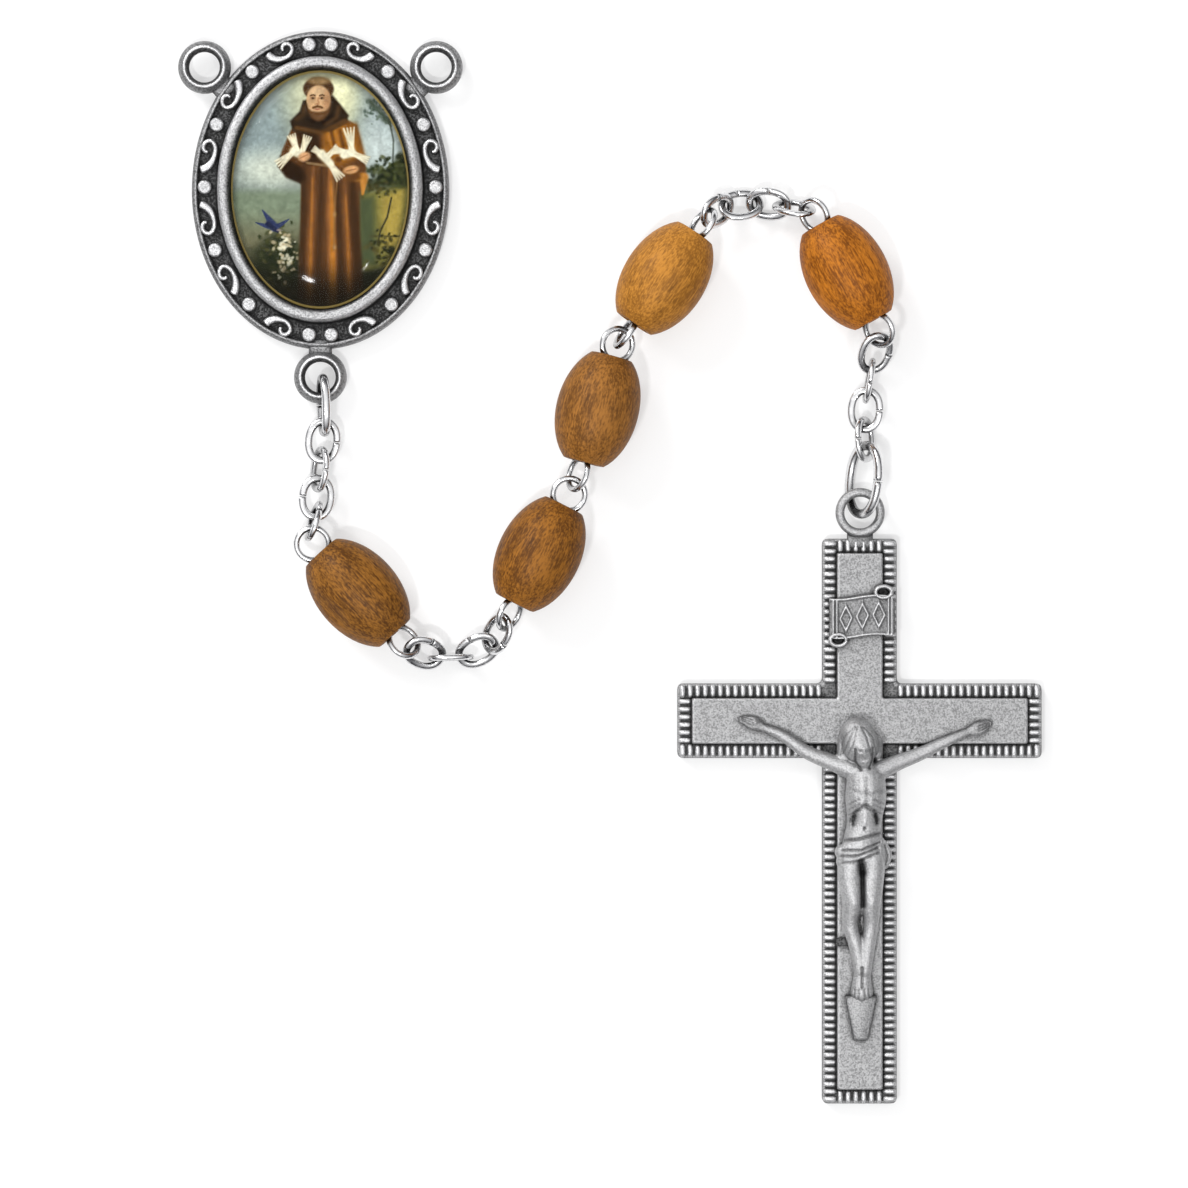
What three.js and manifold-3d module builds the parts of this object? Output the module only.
// The drop of a pocket rosary: an oval centre medal, five wooden beads on eye pins, runs of chain,
// a jump ring and a crucifix, laid out flat. Lengths are in millimetres and angles in degrees.
// The origin is the centre of the medal's flat back. +X is right, +Y is up the medal and +Z is out
// of its face, so the backs of the medal and of the cross lie at z = 0.
import * as THREE from "three";
import Module from "manifold-3d";

const wasm = await Module();
wasm.setup();
const { Manifold, CrossSection, Mesh } = wasm;

const gap = 0.04; // air left between two fixed pieces that would touch

const medal = {
  across: 18.8,
  high: 23.2,
  floor: 1.3, // top of the recess that holds the rim's ornament
  bezelAcross: 14.7,
  bezelHigh: 19.2,
  wellAcross: 13.1,
  wellHigh: 17.5,
  bezelTop: 2.5,
};
const medalRing = { outer: 1.93, hole: 1.2, low: 0.75, top: 1.9 };
const topRingAt = [8.46, 8.96];
const bottomRingAt = [0, -13.67];

const link = { long: 3.4, wide: 2.64, wire: 0.54, thick: 0.42 };
const heavyLink = { long: 4.6, wide: 3.0, wire: 0.62, thick: 0.56 };
const jumpRing = { long: 5.7, wide: 4.2, wire: 0.68, thick: 0.66 };
const eye = { radius: 1.175, wire: 0.45 }; // radius to the middle of the wire
const bead = { long: 8, across: 6, endAcross: 3, bore: 2.4 };
const axisHeight = bead.across / 2; // the beads lie on the table

const cross = {
  at: [39.37, -38.76],
  arm: 5.44, // width of each arm
  half: 13.3, // crossing to either end of the crossbar
  up: 13.3,
  down: 27.95,
  edge: 1.07, // width of the ribbed border
  edgeTop: 1.3,
  ribTop: 1.6,
  ribPitch: 0.54,
  fieldTop: 1.8,
};
const crossRing = { outer: 1.8, hole: 1.15, low: 0.95, top: 1.9 };
const crossRingAt = [39.4, -23.56];

// Each bead with its eye pin: centre, the way the bead points, the way its pin points, how far the
// eyes stand from the centre, and how far the first and the last eye are rolled about the pin.
const strung = [
  { at: [2.83, -29.41], lie: -47.5, pin: -47, reach: 4.87, roll: [0, -42] },
  { at: [16.0, -26.6], lie: 63, pin: 63.5, reach: 4.87, roll: [57, 8] },
  { at: [20.25, -16.07], lie: 75, pin: 73, reach: 4.92, roll: [-58, 22] },
  { at: [25.1, -6.55], lie: 56, pin: 54.8, reach: 4.87, roll: [-76, -60] },
  { at: [38.35, -6.13], lie: -60.8, pin: -60.5, reach: 4.8, roll: [45, 42] },
];

const finish = {
  medal: 0x8d8e90,
  picture: 0x8e9a86,
  dome: 0xdfe8ee,
  wire: 0xd2d4d8,
  cross: 0xaeb0b2,
  corpus: 0xc4c5c7,
  wood: [0x8a5c34, 0x9a6c38, 0xa87442, 0xb27b3e, 0xb8742f],
};

const root = new THREE.Group();
const rad = THREE.MathUtils.degToRad;

// Adds a piece to the part. A Manifold solid becomes a three.js mesh here.
function add(name, solid, colour) {
  const m = solid.getMesh();
  const geometry = new THREE.BufferGeometry()
    .setAttribute("position", new THREE.BufferAttribute(m.vertProperties, 3))
    .setIndex(new THREE.BufferAttribute(m.triVerts, 1));
  geometry.computeVertexNormals();
  const mesh = new THREE.Mesh(geometry, new THREE.MeshStandardMaterial({ color: colour }));
  mesh.name = name;
  root.add(mesh);
  return mesh;
}

// Moves a mesh whose length runs along its own X to a centre, along a direction, rolled about it.
function lay(mesh, centre, direction, roll = 0) {
  const along = direction.clone().normalize();
  const sideways = new THREE.Vector3(0, 0, 1).cross(along).normalize();
  const upward = along.clone().cross(sideways);
  const turned = new THREE.Matrix4().makeBasis(along, sideways, upward);
  turned.multiply(new THREE.Matrix4().makeRotationX(rad(roll)));
  mesh.quaternion.setFromRotationMatrix(turned);
  mesh.position.copy(centre);
}

function oval(across, high, segments = 56) {
  return CrossSection.circle(1, segments).scale([across / 2, high / 2]);
}

function slab(outline, low, top) {
  return outline.extrude(top - low).translate(0, 0, low);
}

// A closed ring swept round an oval: each profile point is [offset outwards from the oval, height].
function ovalRing(across, high, profile, segments = 56) {
  const points = [];
  const faces = [];
  const sides = profile.length;
  for (let i = 0; i < segments; i += 1) {
    const a = (2 * Math.PI * i) / segments;
    for (const [out, z] of profile) {
      points.push((across / 2 + out) * Math.cos(a), (high / 2 + out) * Math.sin(a), z);
    }
    for (let j = 0; j < sides; j += 1) {
      const next = ((i + 1) % segments) * sides;
      const k = (j + 1) % sides;
      faces.push(i * sides + j, next + j, next + k, i * sides + j, next + k, i * sides + k);
    }
  }
  return solidFrom(points, faces);
}

function solidFrom(points, faces) {
  const vertProperties = new Float32Array(points);
  const triVerts = new Uint32Array(faces);
  return Manifold.ofMesh(new Mesh({ numProp: 3, vertProperties, triVerts }));
}

// A closed wire loop lying in XY: two half circles joined by straight sides, long along X.
function wireLoop({ long, wide, wire, thick }, steps = 16, sides = 6) {
  const bend = (wide - wire) / 2;
  const straight = (long - wide) / 2;
  const points = [];
  const faces = [];
  for (let i = 0; i < steps; i += 1) {
    const a = (2 * Math.PI * (i + 0.5)) / steps;
    for (let j = 0; j < sides; j += 1) {
      const b = (2 * Math.PI * j) / sides;
      const r = bend + (wire / 2) * Math.cos(b);
      const x = Math.sign(Math.cos(a)) * straight + r * Math.cos(a);
      points.push(x, r * Math.sin(a), (thick / 2) * Math.sin(b));
      const next = ((i + 1) % steps) * sides;
      const k = (j + 1) % sides;
      faces.push(i * sides + j, next + j, next + k, i * sides + j, next + k, i * sides + k);
    }
  }
  return solidFrom(points, faces);
}

function onRim(angle, out = 0) {
  return [(8.4 + out) * Math.cos(rad(angle)), (10.72 + out) * Math.sin(rad(angle))];
}

// One scroll of the rim, seen from above: steps along the rim, outwards, and half its width.
const scrollStroke = [
  [-0.92, 0.38, 0.17],
  [-0.75, 0.02, 0.17],
  [-0.35, -0.34, 0.15],
  [0.15, -0.46, 0.13],
  [0.62, -0.42, 0.12],
  [0.92, -0.15, 0.1],
  [0.92, 0.18, 0.1],
  [0.68, 0.4, 0.1],
  [0.36, 0.36, 0.1],
  [0.12, 0.18, 0.1],
];

// The stroke is laid on the rim at an angle; turn is -1 where its hook points down the rim.
function scroll(angle, turn) {
  const millimetre = 180 / Math.PI / 9.5;
  const dabs = scrollStroke.map(([along, out, half]) => {
    const [x, y] = onRim(angle + turn * along * millimetre, out);
    return CrossSection.circle(half, 6).translate(x, y);
  });
  const strokes = dabs.slice(1).map((dab, i) => CrossSection.hull([dabs[i], dab]));
  return CrossSection.union(strokes);
}

// Dots and scrolls alternate down each side of the rim, with a pair of dots at top and bottom.
function rimOrnament() {
  const dots = [84.5, 54, 26.5, 1, -24.5, -52, -84.5];
  const scrolls = [70, 40.5, 13.5, -11.5, -38, -69];
  const raised = [];
  for (const side of [1, -1]) {
    for (const angle of dots) {
      const [x, y] = onRim(angle);
      raised.push(CrossSection.circle(0.45, 12).translate(side * x, y));
    }
    scrolls.forEach((angle, i) => {
      raised.push(scroll(angle, i % 2 ? -1 : 1).scale([side, 1]));
    });
  }
  return slab(CrossSection.union(raised), medal.floor - 0.3, medal.floor + 0.45);
}

// A cast ring with a flat crest, joined by a short web towards a point of its parent.
function castRing({ outer, hole, low, top }, [x, y], [towardX, towardY]) {
  const profile = [
    [hole, low],
    [outer, low],
    [outer, top - 0.6],
    [outer - 0.25, top],
    [hole + 0.18, top],
    [hole, top - 0.5],
  ];
  const ring = CrossSection.ofPolygons([profile]).revolve(24).translate(x, y, 0);
  const away = Math.hypot(towardX - x, towardY - y);
  const [stepX, stepY] = [(towardX - x) / away, (towardY - y) / away];
  const web = CrossSection.hull([
    CrossSection.circle(0.8, 12).translate(x + 1.2 * stepX, y + 1.2 * stepY),
    CrossSection.circle(0.85, 12).translate(x + 2.4 * stepX, y + 2.4 * stepY),
  ]).subtract(CrossSection.circle(1.5, 24).translate(x, y));
  return ring.add(slab(web, low, top - 0.5));
}

function medalFrame() {
  const { across, high, floor, bezelTop, wellAcross, wellHigh } = medal;
  const back = slab(oval(across, high), 0, floor);
  const lip = ovalRing(across, high, [
    [-0.6, 0.6],
    [-0.02, 0.6],
    [-0.02, floor + 0.1],
    [-0.2, floor + 0.4],
    [-0.45, floor + 0.4],
  ]);
  const wallWide = (medal.bezelAcross - wellAcross) / 2;
  const bezel = ovalRing(wellAcross, wellHigh, [
    [0, 0.6],
    [wallWide, 0.6],
    [wallWide, floor + 0.6],
    [wallWide * 0.8, bezelTop - 0.1],
    [wallWide * 0.5, bezelTop],
    [wallWide * 0.2, bezelTop - 0.15],
    [0, floor + 0.6],
  ]);
  const [ringX, ringY] = topRingAt;
  const rings = [
    castRing(medalRing, [ringX, ringY], [0, 0]),
    castRing(medalRing, [-ringX, ringY], [0, 0]),
    castRing(medalRing, bottomRingAt, [0, 0]),
  ];
  return Manifold.union([back, lip, bezel, rimOrnament(), ...rings]);
}

// The printed disc lies on the floor of the well and the clear dome fills the well above it.
const printTop = medal.floor + gap + 0.2;

function medalPicture() {
  const outline = oval(medal.wellAcross - 2 * gap, medal.wellHigh - 2 * gap);
  return slab(outline, medal.floor + gap, printTop);
}

function medalDome() {
  const [halfX, halfY] = [medal.wellAcross / 2 - gap, medal.wellHigh / 2 - gap];
  const edge = medal.floor + 0.6;
  const rise = 1.4;
  const points = [];
  for (let i = 0; i < 48; i += 1) {
    const a = (2 * Math.PI * i) / 48;
    const [x, y] = [halfX * Math.cos(a), halfY * Math.sin(a)];
    points.push([x, y, printTop + gap]);
    for (const tilt of [0, 18, 36, 54, 72]) {
      const inward = Math.cos(rad(tilt));
      points.push([x * inward, y * inward, edge + rise * Math.sin(rad(tilt))]);
    }
  }
  return Manifold.hull(points);
}

// A turned bead along X: a rounded barrel with flat ends and a through bore.
function turnedBead() {
  const halfLong = bead.long / 2;
  const fullest = bead.across / 2;
  const bulge = halfLong / Math.sqrt(1 - (bead.endAcross / bead.across) ** 2);
  const profile = [[bead.bore / 2, -halfLong]];
  const steps = 8;
  for (let i = 0; i <= steps; i += 1) {
    const x = halfLong * Math.sin((Math.PI * (i / steps - 0.5)));
    profile.push([fullest * Math.sqrt(1 - (x / bulge) ** 2), x]);
  }
  profile.push([bead.bore / 2, halfLong]);
  return CrossSection.ofPolygons([profile]).revolve(22).rotate(0, 90, 0);
}

// An eye pin along X: a straight wire with a bent eye at both ends, each rolled on its own.
function eyePin({ reach, roll }) {
  const across = 2 * eye.radius + eye.wire;
  const loop = wireLoop({ long: across, wide: across, wire: eye.wire, thick: eye.wire }, 18, 6);
  const length = 2 * (reach - eye.radius);
  const wire = Manifold.cylinder(length, eye.wire / 2, eye.wire / 2, 8, true).rotate(0, 90, 0);
  const first = loop.rotate(roll[0], 0, 0).translate(-reach, 0, 0);
  const last = loop.rotate(roll[1], 0, 0).translate(reach, 0, 0);
  return Manifold.union([first, wire, last]);
}

function rectangle(left, bottom, right, top) {
  return CrossSection.square([right - left, top - bottom]).translate(left, bottom);
}

function crossOutline(grown = 0) {
  const { arm, half, up, down } = cross;
  const side = arm / 2 + grown;
  const bar = rectangle(-half - grown, -side, half + grown, side);
  const upright = rectangle(-side, -down - grown, side, up + grown);
  return bar.add(upright);
}

// Short ribs across the border: one comb along the long sides of each arm and one across its end.
function borderRibs() {
  const { arm, half, up, down, edge, ribPitch } = cross;
  const inner = arm / 2 - edge - 0.05;
  const outer = arm / 2 - 0.06;
  const wide = ribPitch * 0.55;
  const ribs = [];
  const comb = (from, to, make) => {
    const count = Math.round((to - from) / ribPitch);
    const pitch = (to - from) / count;
    for (let i = 0; i < count; i += 1) {
      const middle = from + pitch * (i + 0.5);
      ribs.push(make(middle - wide / 2, middle + wide / 2));
    }
  };
  for (const side of [-1, 1]) {
    const [near, far] = side < 0 ? [-outer, -inner] : [inner, outer];
    const upright = (low, top) => rectangle(near, low, far, top);
    const level = (left, right) => rectangle(left, near, right, far);
    comb(arm / 2, up - 0.1, upright);
    comb(-down + 0.1, -arm / 2, upright);
    comb(arm / 2, half - 0.1, level);
    comb(-half + 0.1, -arm / 2, level);
    const end = half - arm / 2;
    const levelEnd = (low, top) => rectangle(near + side * end, low, far + side * end, top);
    comb(-inner, inner, levelEnd);
  }
  const rise = up - arm / 2;
  const drop = down - arm / 2;
  comb(-inner, inner, (left, right) => rectangle(left, inner + rise, right, outer + rise));
  comb(-inner, inner, (left, right) => rectangle(left, -outer - drop, right, -inner - drop));
  return slab(CrossSection.union(ribs), cross.edgeTop - 0.2, cross.ribTop);
}

// The title scroll above the head: a wavy band with a curl at two corners and plain ornament.
function titleScroll() {
  const middle = 7.6;
  const low = cross.fieldTop - 0.2;
  const points = [];
  const steps = 10;
  const wave = (x) => 0.18 * Math.sin((2 * Math.PI * x) / 3.6);
  for (let i = 0; i <= steps; i += 1) {
    const x = -2.3 + (4.6 * i) / steps;
    points.push([x, middle - 1.25 + wave(x)]);
  }
  for (let i = steps; i >= 0; i -= 1) {
    const x = -2.3 + (4.6 * i) / steps;
    points.push([x, middle + 1.25 + wave(x)]);
  }
  const band = slab(CrossSection.ofPolygons([points]), low, cross.fieldTop + 0.5);
  const curls = [
    [-1.6, middle - 1.5],
    [1.65, middle + 1.5],
  ].map(([x, y]) => slab(CrossSection.circle(0.6, 14).translate(x, y), low, 2.4));
  const lozenge = CrossSection.circle(0.5, 4).scale([0.9, 1.3]);
  const lozenges = [-1.2, 0, 1.2].map((x) => slab(lozenge.translate(x, middle), low, 2.5));
  return Manifold.union([band, ...curls, ...lozenges]);
}

function crossCasting() {
  const [x, y] = cross.at;
  const plate = slab(crossOutline(), 0, cross.edgeTop);
  const field = slab(crossOutline(-cross.edge), 0, cross.fieldTop);
  const body = Manifold.union([plate, field, borderRibs(), titleScroll()]);
  return body.translate(x, y, 0).add(castRing(crossRing, crossRingAt, [x, y]));
}

// A row of balls joined by their hulls, each given as [x, y, z, radius].
function limb(...balls) {
  const round = balls.map(([x, y, z, r]) => Manifold.sphere(r, 12).translate(x, y, z));
  return Manifold.union(round.slice(1).map((ball, i) => Manifold.hull([round[i], ball])));
}

// The figure on the cross, in the cross's own plane with its crossing at (0, 0). The head is bowed
// to its right, the arms are spread, the knees lean to one side and the feet are crossed.
function corpus() {
  const parts = [
    limb([0.4, -4.2, 2.5, 1.35], [0.25, -7.2, 2.4, 1.05], [0.15, -9.6, 2.5, 1.35]),
    limb([-1.2, -3.2, 2.5, 0.8], [-4.85, -1.85, 2.35, 0.5], [-7.9, -0.2, 2.3, 0.38]),
    limb([1.9, -3.4, 2.5, 0.8], [5.6, -1.75, 2.35, 0.5], [8.7, -0.5, 2.3, 0.38]),
    limb([-7.9, -0.15, 2.25, 0.45], [-8.5, 0.15, 2.2, 0.3]),
    limb([8.7, -0.45, 2.25, 0.45], [9.3, -0.2, 2.2, 0.3]),
    limb([0.3, -3.2, 2.7, 0.6], [-0.05, -1.7, 3.0, 1.35]),
    limb([-0.05, -1.2, 2.9, 1.4], [-0.1, -2.6, 2.9, 1.0]),
    limb([-0.6, -10, 2.6, 1.15], [-0.9, -13.9, 3.0, 0.85], [-0.1, -19, 2.5, 0.5]),
    limb([0.8, -10, 2.6, 1.15], [0.5, -13.7, 3.1, 0.85], [0.15, -18.8, 2.6, 0.5]),
    limb([0.1, -18.8, 2.6, 0.5], [0.1, -20.4, 2.3, 0.55]),
    limb([-1.2, -8.9, 2.7, 0.7], [1.3, -8.7, 2.7, 0.7], [1.9, -9.9, 2.6, 0.5]),
    limb([-1.1, -10.2, 2.7, 0.6], [1.4, -10.3, 2.7, 0.6]),
  ];
  const rest = CrossSection.ofPolygons([
    [
      [-1.05, -20.0],
      [-0.55, -23.2],
      [0.6, -23.2],
      [1.2, -20.0],
    ],
  ]);
  const peg = rectangle(-1.75, -16.4, -0.4, -15.7);
  const low = cross.fieldTop + gap;
  const base = slab(rest.add(peg), low, low + 0.5);
  const [x, y] = cross.at;
  return Manifold.union([...parts, base]).trimByPlane([0, 0, 1], low).translate(x, y, 0);
}

// Hinge points of a slack run of links, equally long, laid on the arc through its two ends. side is
// 1 where the run bows to the left of the way it goes. inner holds the heights of its inner points.
function layRun(from, to, pitch, inner, side) {
  const heights = [from.z, ...inner, to.z];
  const count = heights.length - 1;
  const chord = Math.hypot(to.x - from.x, to.y - from.y);
  const lengths = [];
  for (let i = 0; i < count; i += 1) {
    lengths.push(Math.sqrt(pitch ** 2 - (heights[i + 1] - heights[i]) ** 2));
  }
  const half = (length, radius) => Math.asin(Math.min(1, length / (2 * radius)));
  let tight = chord / 2;
  let loose = 1e5;
  for (let i = 0; i < 60; i += 1) {
    const radius = Math.sqrt(tight * loose);
    const turned = lengths.reduce((sum, length) => sum + half(length, radius), 0);
    if (turned > half(chord, radius)) loose = radius;
    else tight = radius;
  }
  let way = Math.atan2(to.y - from.y, to.x - from.x) + side * half(chord, tight);
  const points = [from];
  for (let i = 0; i < count; i += 1) {
    way -= side * half(lengths[i], tight);
    const last = points[i];
    const x = last.x + lengths[i] * Math.cos(way);
    const y = last.y + lengths[i] * Math.sin(way);
    points.push(new THREE.Vector3(x, y, heights[i + 1]));
    way -= side * half(lengths[i], tight);
  }
  return points;
}

const at = (x, y, z) => new THREE.Vector3(x, y, z);

// The middle of an eye, or a point round its inside: end is -1 for a pin's first eye and 1 for its
// last, and around is the angle from the pin's own line, in the plane of the rolled eye.
function inEye(index, end, inside = 0, around = 0) {
  const { at: [x, y], pin, reach, roll } = strung[index];
  const tilt = rad(roll[end < 0 ? 0 : 1]);
  const along = end * (reach + inside * Math.cos(rad(around)));
  const aside = end * inside * Math.sin(rad(around));
  const [cos, sin] = [Math.cos(rad(pin)), Math.sin(rad(pin))];
  const level = aside * Math.cos(tilt);
  const z = axisHeight + aside * Math.sin(tilt);
  return at(x + along * cos - level * sin, y + along * sin + level * cos, z);
}

// Where a link hooks into an eye.
function hookIn(index, end, around) {
  return inEye(index, end, eye.radius - eye.wire / 2 - 0.16, around);
}

function addLinks(names, points, rolls, size = link) {
  names.forEach((name, i) => {
    const mesh = add(name, wireLoop(size), finish.wire);
    const centre = points[i].clone().add(points[i + 1]).multiplyScalar(0.5);
    lay(mesh, centre, points[i + 1].clone().sub(points[i]), rolls[i]);
  });
}

const numbered = (word, first, count) =>
  Array.from({ length: count }, (_, i) => word + "_" + (first + i));

add("medal_frame", medalFrame(), finish.medal);
add("medal_picture", medalPicture(), finish.picture);
add("medal_dome", medalDome(), finish.dome);

strung.forEach((one, i) => {
  const centre = new THREE.Vector3(...one.at, axisHeight);
  const facing = (angle) => new THREE.Vector3(Math.cos(rad(angle)), Math.sin(rad(angle)), 0);
  const wood = add("bead_" + (i + 1), turnedBead(), finish.wood[i]);
  lay(wood, centre, facing(one.lie));
  const wire = add("pin_" + (i + 1), eyePin(one), finish.wire);
  lay(wire, centre, facing(one.pin));
});

const medalRun = [
  at(0.2, -14.15, 1.55),
  ...layRun(at(0.3, -17.3, 1.45), hookIn(0, -1, -40), 2.08, [1.4, 1.4, 1.45], -1),
];
const lowRun = layRun(hookIn(0, 1, 15), hookIn(1, -1, 0), 2.12, [1.85, 1.45, 1.9], -1);
const highRun = layRun(hookIn(3, 1, 18), hookIn(4, -1, 45), 2.09, [1.4, 1.0, 1.4], 1);
const crossRun = layRun(hookIn(4, 1, -35), at(39.8, -19.3, 1.5), 2.16, [1.7, 1.4, 1.35], -1);

addLinks(["link_1"], medalRun.slice(0, 2), [78], heavyLink);
addLinks(numbered("link", 2, 4), medalRun.slice(1), [0, 62, -6, 70]);
addLinks(numbered("link", 6, 4), lowRun, [22, 88, 26, -36]);
addLinks(numbered("link", 10, 4), highRun, [36, -30, 32, -60]);
addLinks(numbered("link", 14, 4), crossRun, [-20, 88, 8, -58]);

const jumpEnds = [at(39.85, -19.1, 1.85), at(39.45, -23.25, 1.75)];
const ring = add("jump_ring", wireLoop(jumpRing, 24, 8), finish.wire);
lay(ring, jumpEnds[0].clone().lerp(jumpEnds[1], 0.5), jumpEnds[1].clone().sub(jumpEnds[0]), 56);

add("crucifix_cross", crossCasting(), finish.cross);
add("corpus", corpus(), finish.corpus);

// Where each piece turns on the one before it, from the medal to the cross.
const betweenEyes = (index) => inEye(index, 1).lerp(inEye(index + 1, -1), 0.5);
root.userData.hinges = [
  ...medalRun,
  ...lowRun,
  betweenEyes(1),
  betweenEyes(2),
  ...highRun,
  ...crossRun,
  at(39.4, -22.8, 1.6),
];

export default root;
